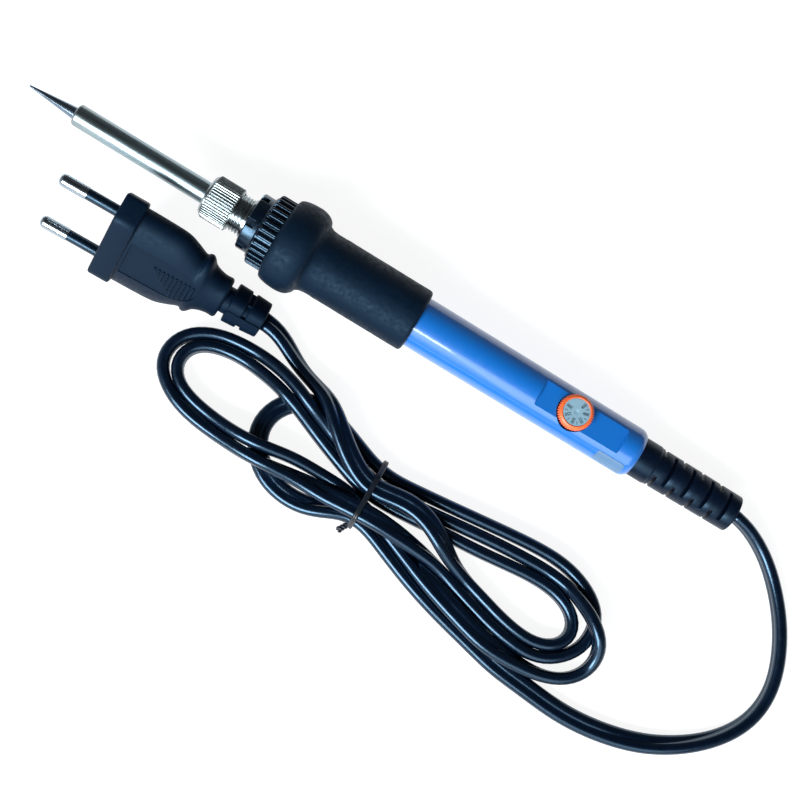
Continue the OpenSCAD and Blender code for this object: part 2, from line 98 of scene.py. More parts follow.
S_MOUTH = stations("barrel_tube")[0]
S_COLLAR = stations("front_collar")[0]
S_RING, S_GRIP = stations("cooling_ring")
S_GRIP_END = stations("rubber_grip")[1]
S_RELIEF = stations("handle_shell")[1]
S_ROOT, S_END = stations("strain_relief")
S_DIAL = (np.array(JOINTS["dial_turn"]["pos_m"]) - TIP_POINT) @ AHEAD / MM
DIAL_LOW, DIAL_HIGH = stations("dial_rim", UP)
DIAL_FOOT = TIP_POINT + AHEAD * S_DIAL * MM
DIAL = frame_of(UP, ACROSS, np.cross(UP, ACROSS), DIAL_FOOT)
DIAL_R = girth("dial_rim", UP, DIAL_FOOT)

PIN_A = np.array(MOUNTS["plug_pin_upper"]["pos_m"])
PIN_B = np.array(MOUNTS["plug_pin_lower"]["pos_m"])
PLUG_AHEAD = -np.array(MOUNTS["plug_pin_upper"]["axis"])
PLUG_ACROSS = (PIN_A - PIN_B) / np.linalg.norm(PIN_A - PIN_B)
PLUG_UP = np.cross(PLUG_AHEAD, PLUG_ACROSS)
PIN_MIDDLE = (PIN_A + PIN_B) / 2
PLUG_FRONT = PIN_MIDDLE + PLUG_AHEAD * reach("plug_body", PIN_MIDDLE, PLUG_AHEAD)[0]
PLUG = frame_of(PLUG_AHEAD, PLUG_ACROSS, PLUG_UP, PLUG_FRONT)
PLUG_LONG = reach("plug_body", PLUG_FRONT, PLUG_AHEAD)[1] / MM


# -------- materials
# The bluish highlights of dark plastic and rubber, and noise drawn out along a turned piece
COOL_SHEEN = (0.42, 0.7, 1.0, 1)
ALONG = (0.06, 1, 1)


def linear(red, green, blue):
    """A colour given as 0-255 display values, in the shader's linear values."""
    return tuple(
        (v / 255 / 12.92) if v < 10 else ((v / 255 + 0.055) / 1.055) ** 2.4
        for v in (red, green, blue)
    )


def add_node(tree, kind, inputs, **settings):
    """A shader node. Each of its inputs is a value or another node's output."""
    node = tree.nodes.new("ShaderNode" + kind)
    for key, value in settings.items():
        setattr(node, key, value)
    for key, value in inputs.items():
        if isinstance(value, bpy.types.NodeSocket):
            tree.links.new(value, node.inputs[key])
        else:
            node.inputs[key].default_value = value
    return node


def ranged(tree, source, low, high, start, end):
    """A value from low to high as source goes from start to end."""
    return add_node(tree, "MapRange", {
        "Value": source, "From Min": start, "From Max": end, "To Min": low, "To Max": high,
    }).outputs["Result"]


def maths(tree, operation, *values):
    """The outcome of an operation on one or two values."""
    return add_node(tree, "Math", dict(enumerate(values)), operation=operation).outputs[0]


class Coat:
    """A procedural material: a Principled shader with mottled colour, roughness and fine relief."""

    def __init__(self, name, colour, rough, metallic=0.0, **sockets):
        self.name = name
        self.material = bpy.data.materials.new(name)
        self.material.use_nodes = True
        self.tree = self.material.node_tree
        self.shader = self.tree.nodes["Principled BSDF"]
        self.colour = colour
        sockets |= {"Base Color": (*colour, 1), "Roughness": rough, "Metallic": metallic}
        for socket, value in sockets.items():
            self.shader.inputs[socket.replace("_", " ")].default_value = value
        self.place = add_node(self.tree, "TexCoord", {}).outputs["Object"]
        self.tint = (*colour, 1)
        self.normal = None

    def feed(self, source, socket):
        """Joins an output to one of the shader's sockets."""
        self.tree.links.new(source, self.shader.inputs[socket])
        return self

    def noise(self, scale, stretch=(1, 1, 1)):
        """A noise of that many cells a metre, drawn out along the axes by stretch."""
        spot = add_node(self.tree, "Mapping", {"Vector": self.place, "Scale": stretch}).outputs[0]
        inputs = {"Vector": spot, "Scale": scale, "Detail": 3.0}
        return add_node(self.tree, "TexNoise", inputs).outputs["Fac"]

    def spread(self, source, low, high, start=0.3, end=0.7):
        """A value from low to high as source goes from start to end."""
        return ranged(self.tree, source, low, high, start, end)

    def paint(self, factor, colour):
        """Mixes a colour over what is there, by factor."""
        colours = {0: factor, 6: self.tint, 7: (*colour, 1)}
        self.tint = add_node(self.tree, "Mix", colours, data_type="RGBA").outputs[2]
        return self.feed(self.tint, "Base Color")

    def mottle(self, scale, share, shade, stretch=(1, 1, 1)):
        """Patches that go up to share of the way to the colour times shade."""
        patches = self.spread(self.noise(scale, stretch), 0.0, share)
        return self.paint(patches, tuple(min(1.0, c * shade) for c in self.colour))

    def roughen(self, scale, low, high, stretch=(1, 1, 1)):
        """Roughness that wanders from low to high."""
        return self.feed(self.spread(self.noise(scale, stretch), low, high), "Roughness")

    def relief(self, scale, strength, depth, stretch=(1, 1, 1)):
        """Fine relief in the surface, of that depth in metres."""
        return self.emboss(self.noise(scale, stretch), strength, depth)

    def emboss(self, height, strength, depth):
        """Relief from a height, over the relief that is there."""
        inputs = {"Height": height, "Strength": strength, "Distance": depth}
        if self.normal is not None:
            inputs["Normal"] = self.normal
        self.normal = add_node(self.tree, "Bump", inputs).outputs["Normal"]
        return self.feed(self.normal, "Normal")

    def axis(self, name):
        """One coordinate of the piece's own frame."""
        return add_node(self.tree, "SeparateXYZ", {0: self.place}).outputs[name]

    def bands(self, name, pitch):
        """A sine of one coordinate, from 0 to 1, that repeats every pitch metres."""
        turns = maths(self.tree, "MULTIPLY", self.axis(name), 2 * math.pi / pitch)
        return self.spread(maths(self.tree, "SINE", turns), 0.0, 1.0, -1.0, 1.0)

    def fade(self, name, start, end, colour, low=0.0, high=1.0):
        """Paints a colour by low to high as one coordinate goes from start to end."""
        return self.paint(self.spread(self.axis(name), low, high, start, end), colour)

    def stripe(self, name, pitch, start, end, colour):
        """Paints a colour where the bands of one coordinate go from start to end."""
        return self.paint(self.spread(self.bands(name, pitch), 0.0, 1.0, start, end), colour)


MOUTH_X = float(TIP_POINT[0]) + S_MOUTH * MM
SLEEVE = Coat("glass_sleeve", linear(226, 221, 205), 0.7).mottle(900, 0.5, 0.85)
COATS = {coat.name: coat.material for coat in (
    Coat("tip_plating", (0.24, 0.30, 0.38), 0.2, 1.0)
    .mottle(260, 0.5, 0.72).roughen(900, 0.13, 0.3, ALONG).relief(5000, 0.12, 0.00002, ALONG),
    Coat("barrel_steel", (0.33, 0.42, 0.46), 0.3, 1.0)
    .mottle(140, 0.45, 0.8, (0.3, 1, 1)).roughen(1500, 0.26, 0.38, (0.03, 1, 1))
    .fade("X", MOUTH_X, MOUTH_X + 0.015, (0.28, 0.28, 0.25), 0.4, 0.0)
    .relief(6000, 0.1, 0.00001, (0.02, 1, 1)),
    Coat("nickel", (0.35, 0.40, 0.42), 0.22, 1.0)
    .mottle(300, 0.35, 0.82).roughen(1200, 0.12, 0.27).relief(4000, 0.08, 0.00001),
    Coat("black_plastic", linear(3, 10, 22), 0.24, Specular_IOR_Level=0.7, Specular_Tint=COOL_SHEEN)
    .mottle(500, 0.5, 1.7).roughen(1500, 0.2, 0.36).relief(5000, 0.15, 0.00001),
    Coat("black_rubber", linear(4, 18, 34), 0.6, Specular_IOR_Level=0.24, Specular_Tint=COOL_SHEEN)
    .mottle(160, 0.5, 1.5, (0.4, 1, 1)).roughen(700, 0.46, 0.7)
    .relief(900, 0.35, 0.00012, (0.35, 1, 1)).relief(6000, 0.3, 0.00002),
    Coat("blue_plastic", linear(15, 106, 192), 0.34, Coat_Weight=0.85, Coat_Roughness=0.04)
    .mottle(90, 0.35, 0.86, (0.3, 1, 1)).roughen(500, 0.3, 0.4)
    .relief(1400, 0.06, 0.00002, (0.4, 1, 1)),
    Coat("orange_plastic", linear(250, 108, 52), 0.34)
    .mottle(700, 0.5, 0.86).roughen(1500, 0.26, 0.42).relief(5000, 0.12, 0.00001),
    Coat("dial_print", linear(140, 172, 190), 0.4)
    .mottle(1100, 0.4, 0.86).roughen(2500, 0.3, 0.5).relief(8000, 0.1, 0.00001),
    Coat("dial_ink", linear(38, 60, 66), 0.5).mottle(2500, 0.6, 1.6).roughen(4000, 0.4, 0.6),
    Coat("label_film", linear(88, 122, 158), 0.4)
    .mottle(260, 0.5, 0.8).roughen(900, 0.34, 0.48).relief(1300, 0.04, 0.00001),
    Coat("cord_pvc", linear(3, 11, 26), 0.22, Specular_IOR_Level=0.75, Specular_Tint=COOL_SHEEN)
    .mottle(220, 0.6, 1.9).roughen(700, 0.16, 0.27).relief(700, 0.08, 0.00003),
    Coat("plug_pvc", linear(4, 17, 34), 0.46, Specular_IOR_Level=0.2, Specular_Tint=COOL_SHEEN)
    .mottle(420, 0.35, 1.35).roughen(900, 0.42, 0.58).relief(4200, 0.35, 0.000015),
    Coat("relief_rubber", linear(4, 12, 28), 0.38, Specular_IOR_Level=0.3, Specular_Tint=COOL_SHEEN)
    .mottle(260, 0.5, 1.8).roughen(900, 0.3, 0.46).relief(3500, 0.25, 0.00002),
    Coat("tie_wire", linear(10, 16, 26), 0.32).mottle(900, 0.6, 1.9).roughen(2000, 0.28, 0.44),
    Coat("pin_plating", (0.40, 0.46, 0.52), 0.2, 1.0)
    .mottle(500, 0.4, 0.8).roughen(1500, 0.13, 0.28).relief(6000, 0.1, 0.00001),
    Coat("ceramic", linear(232, 227, 214), 0.5).mottle(400, 0.4, 0.9).relief(5000, 0.2, 0.00002),
    Coat("lead_wire", (0.6, 0.6, 0.57), 0.3, 1.0).mottle(900, 0.4, 0.7).roughen(3000, 0.22, 0.4),
    SLEEVE.emboss(SLEEVE.bands("X", 0.0004), 0.5, 0.00004).relief(6000, 0.4, 0.00003),
    Coat("board", linear(176, 128, 62), 0.5)
    .mottle(500, 0.6, 0.75, (0.2, 1, 1)).roughen(1500, 0.4, 0.6).relief(5000, 0.2, 0.00001),
    Coat("blue_component", linear(42, 76, 140), 0.4)
    .mottle(700, 0.5, 0.8).relief(4000, 0.2, 0.00001),
    Coat("black_epoxy", linear(28, 28, 30), 0.5).mottle(900, 0.5, 1.6).relief(6000, 0.3, 0.00001),
    Coat("brown_epoxy", linear(138, 59, 30), 0.25, Coat_Weight=0.4)
    .mottle(400, 0.5, 0.75).relief(900, 0.2, 0.00004),
    Coat("glass_blue", linear(60, 92, 164), 0.2)
    .stripe("X", 0.0038, 0.90, 0.93, linear(20, 20, 22)).roughen(2000, 0.15, 0.3),
    Coat("tan_coat", linear(204, 184, 142), 0.4)
    .stripe("Y", 0.0016, 0.86, 0.9, linear(120, 40, 24)).roughen(2000, 0.3, 0.5),
    Coat("wire_jacket", linear(47, 98, 181), 0.4)
    .fade("Y", -0.0001, 0.0001, linear(122, 74, 42)).roughen(1500, 0.3, 0.5),
    Coat("ivory_plastic", linear(226, 219, 198), 0.45)
    .mottle(500, 0.4, 0.9).relief(4000, 0.2, 0.00001),
)}


# -------- mesh helpers
def grid(rows, columns, rows_closed=True):
    """Faces between the points of a grid whose columns go all the way round."""
    last = rows if rows_closed else rows - 1
    faces = []
    for i in range(last):
        here, there = i * columns, (i + 1) % rows * columns
        for k in range(columns):
            after = (k + 1) % columns
            faces.append((here + k, here + after, there + after, there + k))
    return faces


def tube(rings):
    """Points and faces of a closed tube through rings of equal size, with flat ends."""
    rings = np.asarray(rings, float)
    count, around = rings.shape[:2]
    faces = grid(count, around, rows_closed=False)
    faces.append(tuple(range(around - 1, -1, -1)))
    faces.append(tuple((count - 1) * around + k for k in range(around)))
    return rings.reshape(-1, 3), faces


def put(name, data):
    """An object for that data, in the scene."""
    made = bpy.data.objects.new(name, data)
    SCENE.collection.objects.link(made)
    return made


def mesh_of(name, shells, place, sharp):
    """A mesh from shells of points, in millimetres of the frame place, and faces."""
    points, faces = [], []
    for shell_points, shell_faces in shells:
        start = len(points)
        points.extend(map(tuple, np.asarray(shell_points) * MM))
        faces.extend(tuple(start + k for k in face) for face in shell_faces)
    mesh = bpy.data.meshes.new(name)
    mesh.from_pydata(points, [], faces)
    mesh.transform(place)
    return tidy_mesh(mesh, sharp)


def piece(name, shells, coat, body, slot=None, replaced=(), place=IRON, sharp=35):
    """A piece that rides on a CAD body."""
    mesh = mesh_of(name, shells, place, sharp)
    made = put(name, mesh)
    mesh.materials.append(COATS[coat])
    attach(made, body)
    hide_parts(*replaced)
    return made


def tidy_mesh(mesh, sharp):
    """Merges points that coincide, turns faces outwards and shades all but sharp edges smooth."""
    work = bmesh.new()
    work.from_mesh(mesh)
    bmesh.ops.remove_doubles(work, verts=work.verts, dist=1e-7)
    bmesh.ops.dissolve_degenerate(work, edges=work.edges, dist=1e-8)
    bmesh.ops.recalc_face_normals(work, faces=work.faces)
    work.to_mesh(mesh)
    work.free()
    mesh.shade_smooth()
    mesh.set_sharp_from_angle(angle=math.radians(sharp))
    return mesh


def rounded(corners, steps=4):
    """A closed outline with its corners rounded. A corner is station, radius, fillet and weight."""
    padded = [np.array((*corner, 0, 0)[:4], float) for corner in corners]
    outline = []
    for i, here in enumerate(padded):
        fillet = here[2]
        if fillet == 0:
            outline.append(here)
            continue
        before, after = padded[i - 1] - here, padded[(i + 1) % len(padded)] - here
        start = here + before * min(0.48, fillet / np.hypot(*before[:2]))
        end = here + after * min(0.48, fillet / np.hypot(*after[:2]))
        for t in np.linspace(0, 1, steps + 1):
            outline.append((1 - t) ** 2 * start + 2 * t * (1 - t) * here + t * t * end)
    return np.array(outline)


def oblong(x0, y0, x1, y1, corner=0, steps=4):
    """A rectangle's outline of (x, y) points, with its corners rounded."""
    corners = [(x0, y0, corner), (x1, y0, corner), (x1, y1, corner), (x0, y1, corner)]
    return rounded(corners, steps)[:, :2]


def full_turn(count):
    """That many equal angles all the way round."""
    return np.linspace(0, 2 * math.pi, count, endpoint=False)


def turned(name, corners, coat, body, angles=full_turn(96), shape=None, **options):
    """A piece of revolution from an outline of corners. shape(s, a, r, w) may change its radius."""
    outline = rounded(corners)
    s, r, w = (outline[:, k, None] for k in (0, 1, 3))
    a = angles[None, :]
    radius = np.repeat(r, len(angles), 1) if shape is None else shape(s, a, r, w)
    along = np.repeat(s, len(angles), 1)
    points = np.stack([along, radius * np.cos(a), radius * np.sin(a)], axis=-1)
    shell = (points.reshape(-1, 3), grid(*radius.shape))
    return piece(name, [shell], coat, body, **options)


def teeth(count, profile, depth):
    """The angles and shape that give a turned piece count teeth.

    profile is the first half of a tooth, as (share of pitch, height); the rest is its mirror.
    """
    rest = [(1 - share, level) for share, level in profile[::-1] if 0 < share < 0.5]
    shares, levels = np.array(profile + rest).T
    angles = np.concatenate([(i + shares) / count * 2 * math.pi for i in range(count)])

    def shape(s, a, r, w):
        share = (a / (2 * math.pi) * count + 1e-9) % 1
        level = np.interp(share, [*shares, 1 + shares[0]], [*levels, levels[0]])
        return r - w * depth * (1 - level)

    return {"angles": angles, "shape": shape}


def ripple(points, scale, seed):
    """Smooth noise from -1 to 1 at each point."""
    return np.array([noise.noise(Vector(p) * scale + Vector((seed, 0, 0))) for p in points])


def carve(made, cutters, place, sharp):
    """Cuts closed shells, in millimetres of the frame place, out of a piece for good."""
    for number, shell in enumerate(cutters):
        cut = made.modifiers.new(f"cut_{number}", "BOOLEAN")
        cut.operation = "DIFFERENCE"
        cut.solver = "EXACT"
        cut.object = put("cutter", mesh_of("cutter", [shell], place, 30))
    bpy.context.view_layer.update()
    shaped = made.evaluated_get(bpy.context.evaluated_depsgraph_get())
    mesh = bpy.data.meshes.new_from_object(shaped)
    for cut in list(made.modifiers):
        cutter = cut.object
        made.modifiers.remove(cut)
        bpy.data.objects.remove(cutter)
    made.data = tidy_mesh(mesh, sharp)


def prism(outline, low, high):
    """A closed shell that stands on an outline of (x, y) points, from one level to another."""
    return tube([[(x, y, z) for x, y in outline] for z in (low, high)])


def catmull(points, steps):
    """A smooth open curve through points, with that many points to a span."""
    points = np.asarray(points, float)
    before = np.vstack([points[:1], points[:-2]])
    after = np.vstack([points[2:], points[-1:]])
    curve = []
    for a, b, c, d in zip(before, points[:-1], points[1:], after):
        for t in np.arange(steps) / steps:
            curve.append(
                0.5 * (2 * b + (c - a) * t + (2 * a - 5 * b + 4 * c - d) * t**2
                       + (3 * b - a - 3 * c + d) * t**3)
            )
    curve.append(points[-1])
    return np.array(curve)


def evenly(points, step):
    """The same curve with its points about a step apart."""
    gaps = np.linalg.norm(np.diff(points[:, :3], axis=0), axis=1)
    along = np.concatenate([[0], np.cumsum(gaps)])
    marks = np.linspace(0, along[-1], int(round(along[-1] / step)) + 1)
    return np.array([np.interp(marks, along, column) for column in points.T]).T


def unit(rows):
    """The same rows, each with the length one."""
    return rows / np.linalg.norm(rows, axis=1)[:, None]


def directions(points):
    """The unit tangent at each point of a curve."""
    return unit(np.gradient(points, axis=0))


def swept(points, wide, section):
    """Rings of a section, given as (along wide, across it) pairs, round each point of a curve."""
    across = unit(np.cross(directions(points), wide))
    section = np.asarray(section)[None]
    return points[:, None] + wide[:, None] * section[..., :1] + across[:, None] * section[..., 1:]


def wire(points, radius):
    """Rings of a round wire along a curve that is nowhere upright."""
    wide = unit(np.cross(directions(points), (0.02, 0.03, 1.0)))
    turn = full_turn(12)
    return swept(points, wide, np.column_stack([np.cos(turn), np.sin(turn)]) * radius)


# -------- camera, light and floor
def stand_camera():
    """The view of the photograph: from above, a little from the near side, and rolled."""
    tilt, roll = math.radians(8), math.radians(30.8)
    distance, view_wide, sensor = 430 * MM, 240 * MM, 36.0
    target = np.array([18.4, -22.8, 10]) * MM
    look = np.array([0, math.sin(tilt), -math.cos(tilt)])
    level = np.array([1, 0, 0])
    upright = np.array([0, math.cos(tilt), math.sin(tilt)])
    right = math.cos(roll) * level + math.sin(roll) * upright
    top = -math.sin(roll) * level + math.cos(roll) * upright
    data = bpy.data.cameras.new("camera")
    data.sensor_width = sensor
    data.lens = sensor * distance / view_wide
    data.clip_start = 0.01
    camera = put("camera", data)
    camera.matrix_world = frame_of(right, top, -look, target - look * distance)
    SCENE.camera = camera


def area_light(name, place, aim, size, power, colour):
    """A soft rectangle of light at a place, aimed at a point, in metres and watts."""
    data = bpy.data.lights.new(name, "AREA")
    data.shape = "RECTANGLE"
    data.size, data.size_y = size
    data.energy = power
    data.color = colour
    lamp = put(name, data)
    away = Vector(place) - Vector(aim)
    lamp.location = place
    lamp.rotation_euler = away.to_track_quat("Z", "Y").to_euler()


def light_scene():
    """A long window on the near side, in a room that is darker overhead, low down and opposite.

    The window is three strips that end one after another, so that its reflection is a wedge.
    A weaker light fills in from the handle's end.
    """
    strip, strip_power = 0.25, 14.5
    start, ends = -0.80, (0.0, 0.09, 0.2)
    off, level = -1.26, 0.98
    glass, bulb = (0.9, 0.98, 1.0), (0.92, 0.98, 1.0)
    rise = np.array([0, 0.616, 0.788])
    for number, end in enumerate(ends):
        middle = np.array([(start + end) / 2, off, level]) + rise * strip * (number - 1)
        size = (end - start, strip)
        area_light(f"window_{number}", middle, (middle[0], 0, 0.01), size, strip_power, glass)
    area_light("fill", (0.7, off, level), (0.4, 0, 0.01), (1.0, 1.3), 9.0, bulb)
    world = bpy.data.worlds.new("studio")
    world.use_nodes = True
    tree = world.node_tree
    towards = add_node(tree, "TexCoord", {}).outputs["Generated"]
    split = add_node(tree, "SeparateXYZ", {0: towards})
    strength = 1.0
    # The room's strength is the product of these: direction, start, end, value at each
    for axis, start, end, low, high in (
        ("Y", -0.9, 0.45, 0.8, 0.12), ("Z", 0.45, 0.97, 1.0, 0.12), ("Z", 0.1, 0.4, 0.35, 1.0),
    ):
        share = ranged(tree, split.outputs[axis], low, high, start, end)
        strength = maths(tree, "MULTIPLY", strength, share)
    room = tree.nodes["Background"]
    room.inputs["Color"].default_value = (0.9, 0.96, 1.0, 1)
    tree.links.new(strength, room.inputs["Strength"])
    SCENE.world = world
    SCENE.view_settings.view_transform = "Standard"


def lay_floor():
    """Pale paper out to the horizon, which gives off some light and so lifts the shadows."""
    far = 20.0
    mesh = bpy.data.meshes.new("floor")
    corners = [(x, y, 0) for x, y in oblong(-far, -far, far, far)]
    mesh.from_pydata(corners, [], [(0, 1, 2, 3)])
    floor = put("floor", mesh)
    paper = Coat("paper", (0.3, 0.3, 0.305), 0.9, Emission_Strength=0.9)
    mesh.materials.append(paper.mottle(8, 0.2, 0.97).material)


stand_camera()
light_scene()
lay_floor()


# -------- cord
CORD_WIDE = 6.3
CORD_THICK = 3.8
LOBE_OUT = (CORD_WIDE - CORD_THICK) / 2
CORD_STEP = 2.0
TIE_X = 24.5

# Route points: x, y, height of the centre and roll of the flat section. A point of x and y alone
# stands on edge on the floor.
ON_EDGE = (3.2, 90)
LEAD_ROUTE = [
    (129, -1, 5.4, 90), (135, -3.5, 4.4, 90), (141, -7.5, 3.6, 90), (147, -13.5, 3.3, 90),
    (153, -21.5), (157.5, -30.5), (160, -40), (159, -50, 3.2, 80), (154, -59, 3.2, 70),
    (145.5, -67, 2.9, 50), (134, -73.5, 2.4, 25), (121, -77, 2, 0), (108, -78, 2, 0),
    (95, -76.5, 2, 0), (78, -73.5, 2, 0), (61, -69.5, 2.4, 20), (44, -64.5, 3, 60),
]
LEFT_LOW = [
    (25, -59.3), (15, -62.5, 2.8, 50), (6.5, -64.5, 2, 0), (-2, -63.5, 2, 0), (-8, -60.5, 2, 0),
    (-12.5, -56, 2, 0), (-14.5, -50, 2, 0), (-13, -43.5, 2, 0), (-7.5, -38, 2.2, 20),
    (0, -36.5, 3, 60), (11, -39),
]
RIGHT_HIGH = [
    (25, -43.7), (39, -43), (58, -41), (73, -39.5), (84, -39.2), (92.5, -41), (100, -45.2),
    (104.5, -51), (104, -58), (100, -63.5), (93.5, -67.3), (84, -68), (70, -65.5),
    (55, -61.5, 4, 90), (41, -59, 6.5, 45),
]
LEFT_WIDE = [
    (25, -57.3, 8.2, 0), (12, -57.5, 6.5, 30), (1, -58.5, 6.5, 70), (-10, -60, 7, 90),
    (-24, -59.5, 4.2, 90), (-35.5, -58), (-44, -54.5), (-49.5, -49.5), (-50, -42.5), (-45, -36),
    (-35, -32.7), (-24.5, -31.7, 4, 90), (-13.5, -33, 6.5, 90), (-1.5, -36.5, 5.5, 90),
    (10.5, -42.5, 3.5, 90),
]
RIGHT_WIDE = [
    (25, -47.6), (41, -47), (60, -45), (74, -44), (86, -44), (95, -46, 5.5, 90),
    (102.5, -50.5, 9.4, 90), (107.5, -56.5, 6.5, 90), (108.7, -62), (105.5, -67.8), (99, -71.3),
    (88, -72.2, 4.4, 60), (73, -70, 5.7, 10), (57, -66, 5.6, 10), (41.5, -61, 4, 60),
]
LEFT_INNER = [
    (25, -55.4), (12, -54.5, 3.6, 90), (0, -54, 5.5, 90), (-10.5, -55.8, 7, 90),
    (-19.5, -56.2, 5.5, 90), (-28.5, -55.5), (-36.5, -54.2), (-42.2, -51.9), (-45.6, -47.7),
    (-45.6, -42.1), (-42, -37.7), (-36, -35.6), (-28.5, -35.2), (-19.5, -36.5, 5, 90),
    (-11, -38.5, 6.8, 90), (0.5, -43, 4.5, 90), (11.5, -47),
]
RIGHT_INNER = [
    (25, -51.5), (40, -51.3), (52.5, -50.5), (64.5, -49.3), (76, -47.8), (84, -47.3),
    (90.5, -48.2), (96.2, -51.2), (99.4, -56.2), (97.6, -62), (92.4, -65.4), (86, -66.2),
    (79, -65.2), (70.5, -62), (60, -58.5, 4, 80), (53.5, -54.5, 7.5, 50), (47.5, -50.5, 10, 20),
    (40.5, -48, 10.4, 0), (33.5, -48, 10, 0),
]
OVER_TO_PLUG = [
    (24.5, -50, 8.9, 0), (15.5, -46.5, 9, 0), (7, -41, 8.6, 20), (0, -36, 6.5, 50),
    (-6, -32.8, 4, 70), (-11, -31, 3.5, 70), (-17.5, -27, 4.2, 55),
]
HOME_PASSES = 8
AS_IT_LIES = Matrix.Identity(4)


def soften(values, times):
    """Smooths a row of points and keeps its ends."""
    for _ in range(times):
        inner = (values[:-2] + 2 * values[1:-1] + values[2:]) / 4
        values = np.vstack([values[:1], inner, values[-1:]])
    return values


def settle(home, half):
    """Lets strands push each other off where they cross, and sink, and gives the settled middle.

    home is the middle of the cord and half the vector from it to the middle of one lobe.
    """
    count = len(home)
    passes, last_push = 260, 60
    near, apart = 9.5, CORD_THICK + 0.05
    eager, sink, stay = 1.2, 0.02, 0.995
    shift = np.zeros_like(home)
    floor = CORD_THICK / 2 + np.abs(half[:, 2])
    held = 6
    free = np.ones(count)
    free[:held] = np.linspace(0, 1, held)
    free[-held:] = np.linspace(1, 0, held)
    order = np.arange(count)
    for turn in range(passes):
        middle = home + shift
        if turn % 10 == 0:
            gap = np.linalg.norm(middle[:, None] - middle[None], axis=2)
            one, other = np.nonzero((gap < near) & (order[None] - order[:, None] > held))
        move, touches = np.zeros_like(home), np.zeros(count)
        for first, second in ((-1, -1), (-1, 1), (1, -1), (1, 1)):
            line = (middle[one] + first * half[one]) - (middle[other] + second * half[other])
            length = np.linalg.norm(line, axis=1) + 1e-9
            press = np.clip(apart - length, 0, None)
            hit = press > 0
            push = line[hit] / length[hit][:, None] * press[hit][:, None] * 0.5
            for pushed, way in ((one[hit], push), (other[hit], -push)):
                np.add.at(move, pushed, way)
                np.add.at(touches, pushed, 1)
        shift += move / np.maximum(touches, 1)[:, None] * eager
        if turn < passes - last_push:
            shift[:, 2] -= sink
        shift[:, :2] *= stay
        shift = soften(shift, 1)
        shift[:, 2] = np.maximum(home[:, 2] + shift[:, 2], floor) - home[:, 2]
        shift *= free[:, None]
    return home + shift


def cord_middle():
    """The settled centreline and the unit vector across the cord's width at each point."""
    exit_at = (TIP_POINT + AHEAD * S_END * MM) / MM
    neck_at = (PLUG_FRONT + PLUG_AHEAD * PLUG_LONG * MM) / MM
    start = [(*exit_at, 90), (*(exit_at + AHEAD * 3), 90)]
    end = [(*(neck_at + PLUG_AHEAD * 5), 40), (*(neck_at + PLUG_AHEAD * 2), 30), (*neck_at, 30)]
    route = start + LEAD_ROUTE + LEFT_LOW + RIGHT_HIGH + LEFT_WIDE + RIGHT_WIDE
    route += LEFT_INNER + RIGHT_INNER + OVER_TO_PLUG + end
    route = evenly(catmull([(*point, *ON_EDGE)[:4] for point in route], 24), CORD_STEP)
    home = soften(route, HOME_PASSES)
    middle, roll = home[:, :3], np.radians(home[:, 3])[:, None]
    tangent = directions(middle)
    side = unit(np.cross((0, 0, 1), tangent))
    wide = side * np.cos(roll) + np.cross(tangent, side) * np.sin(roll)
    return settle(middle, wide * LOBE_OUT), wide


def twin_section():
    """The cord's section: two round lobes with a shallow waist between them."""
    radius = CORD_THICK / 2
    lobe = np.radians(np.linspace(-112, 112, 13))
    right = np.column_stack([LOBE_OUT + radius * np.cos(lobe), radius * np.sin(lobe)])
    waist = 1.5
    return np.vstack([right, [(0, waist)], -right, [(0, -waist)]])


CORD, CORD_ACROSS = cord_middle()


def lay_cord():
    cord = piece(
        "flat_cord", [tube(swept(CORD, CORD_ACROSS, twin_section()))], "cord_pvc", ROOT,
        replaced=("cord_lead", "cord_hank", "cord_plug_tail"), place=AS_IT_LIES, sharp=100,
    )


def hull(points):
    """The convex outline of flat points, anticlockwise."""
    points = [np.array(point) for point in sorted(points)]
    outline = []
    for row in (points, points[::-1]):
        side = []
        for point in row:
            while len(side) > 1 and np.cross(side[-1] - side[-2], point - side[-2]) <= 0:
                side.pop()
            side.append(point)
        outline += side[:-1]
    return np.array(outline)


def wind_tie():
    """A thin covered wire wound twice round the hank's waist, its ends twisted together."""
    radius = 0.55
    skin = CORD_THICK / 2 + radius * 0.9
    circles = []
    for side in (-1, 1):
        lobe = CORD + side * LOBE_OUT * CORD_ACROSS
        for near in lobe[np.abs(lobe[:, 0] - TIE_X) < CORD_STEP]:
            circles += [
                (near[1] + skin * math.cos(a), near[2] + skin * math.sin(a)) for a in full_turn(24)
            ]
    loop = hull(circles)
    loop = np.vstack([loop, loop[:1]])
    loop = evenly(np.column_stack([np.zeros(len(loop)), loop]), 0.6)[:-1]
    loop = np.roll(loop, -int(np.argmin(loop[:, 1])), axis=0)
    turns = np.vstack([loop, loop, loop[:1]])
    drift = np.linspace(-1.0, 1.0, len(turns)) * radius * 1.1
    turns[:, 0] += TIE_X + drift
    turns[:, 2] = np.maximum(turns[:, 2], radius + 0.02)
    turns = soften(turns, 3)
    shells = [tube(wire(turns, radius))]
    along = np.linspace(0, 1, 40)
    foot = np.array([TIE_X - 0.4, turns[0][1] + 0.6, 2.6])
    middle = foot + np.outer(along, (-1.7, -3.0, -1.0))
    for phase in (0, math.pi):
        angle = along * 3.4 * math.pi + phase
        open_by = radius * (0.95 + 0.5 * along**6)
        flat, upright = np.cos(angle) * open_by, np.sin(angle) * open_by
        strand = middle + np.column_stack([flat * 0.87, -flat * 0.49, upright])
        shells.append(tube(wire(strand, radius * 0.9)))
    piece(
        "wire_tie", shells, "tie_wire", ROOT, replaced=("twist_tie",), place=AS_IT_LIES, sharp=80,
    )


